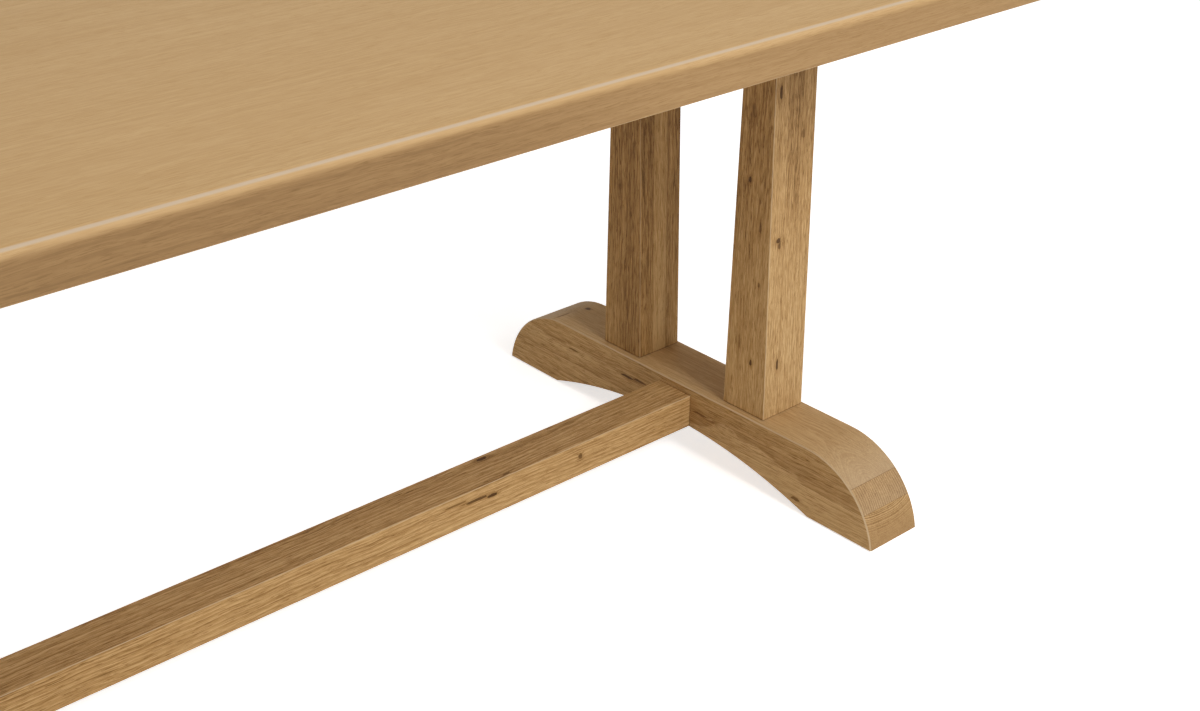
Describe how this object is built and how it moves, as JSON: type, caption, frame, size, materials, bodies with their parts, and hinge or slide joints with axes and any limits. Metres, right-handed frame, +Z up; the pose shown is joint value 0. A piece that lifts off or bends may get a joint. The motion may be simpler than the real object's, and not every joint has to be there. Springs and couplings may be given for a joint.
{
  "type": "trestle dining table",
  "caption": "Solid oak dining table: a thick round-edged top on tapered twin posts, each pair on an arched foot, joined by a low stretcher.",
  "frame": {"origin": "on the floor, under the middle of the top", "axes": "+X along the table's length, +Y across it, +Z up"},
  "size_m": [2, 0.92, 0.762],
  "materials": {
    "oak_top": "satin oiled oak",
    "oak_base": "satin oiled oak",
    "zinc_steel": "bright zinc plate",
    "nylon": "matt"
  },
  "bodies": {
    "root": {"right_foot_front_block": "oak_base", "right_foot_rear_block": "oak_base", "right_foot_core_board": "oak_base", "right_foot_top_board": "oak_base", "right_front_post_inner_board": "oak_base", "right_front_post_core_board": "oak_base", "right_front_post_outer_board": "oak_base", "right_rear_post_inner_board": "oak_base", "right_rear_post_core_board": "oak_base", "right_rear_post_outer_board": "oak_base", "right_bearer": "oak_base", "left_foot_front_block": "oak_base", "left_foot_rear_block": "oak_base", "left_foot_core_board": "oak_base", "left_foot_top_board": "oak_base", "left_front_post_inner_board": "oak_base", "left_front_post_core_board": "oak_base", "left_front_post_outer_board": "oak_base", "left_rear_post_inner_board": "oak_base", "left_rear_post_core_board": "oak_base", "left_rear_post_outer_board": "oak_base", "left_bearer": "oak_base", "stretcher": "oak_base", "top_board_1": "oak_top", "top_board_2": "oak_top", "top_board_3": "oak_top", "top_board_4": "oak_top", "top_board_5": "oak_top", "top_board_6": "oak_top", "top_board_7": "oak_top", "stretcher_bolts": "zinc_steel", "cross_dowels": "zinc_steel", "top_bolts": "zinc_steel", "top_inserts": "zinc_steel", "glides": "nylon"}
  },
  "joints": []
}
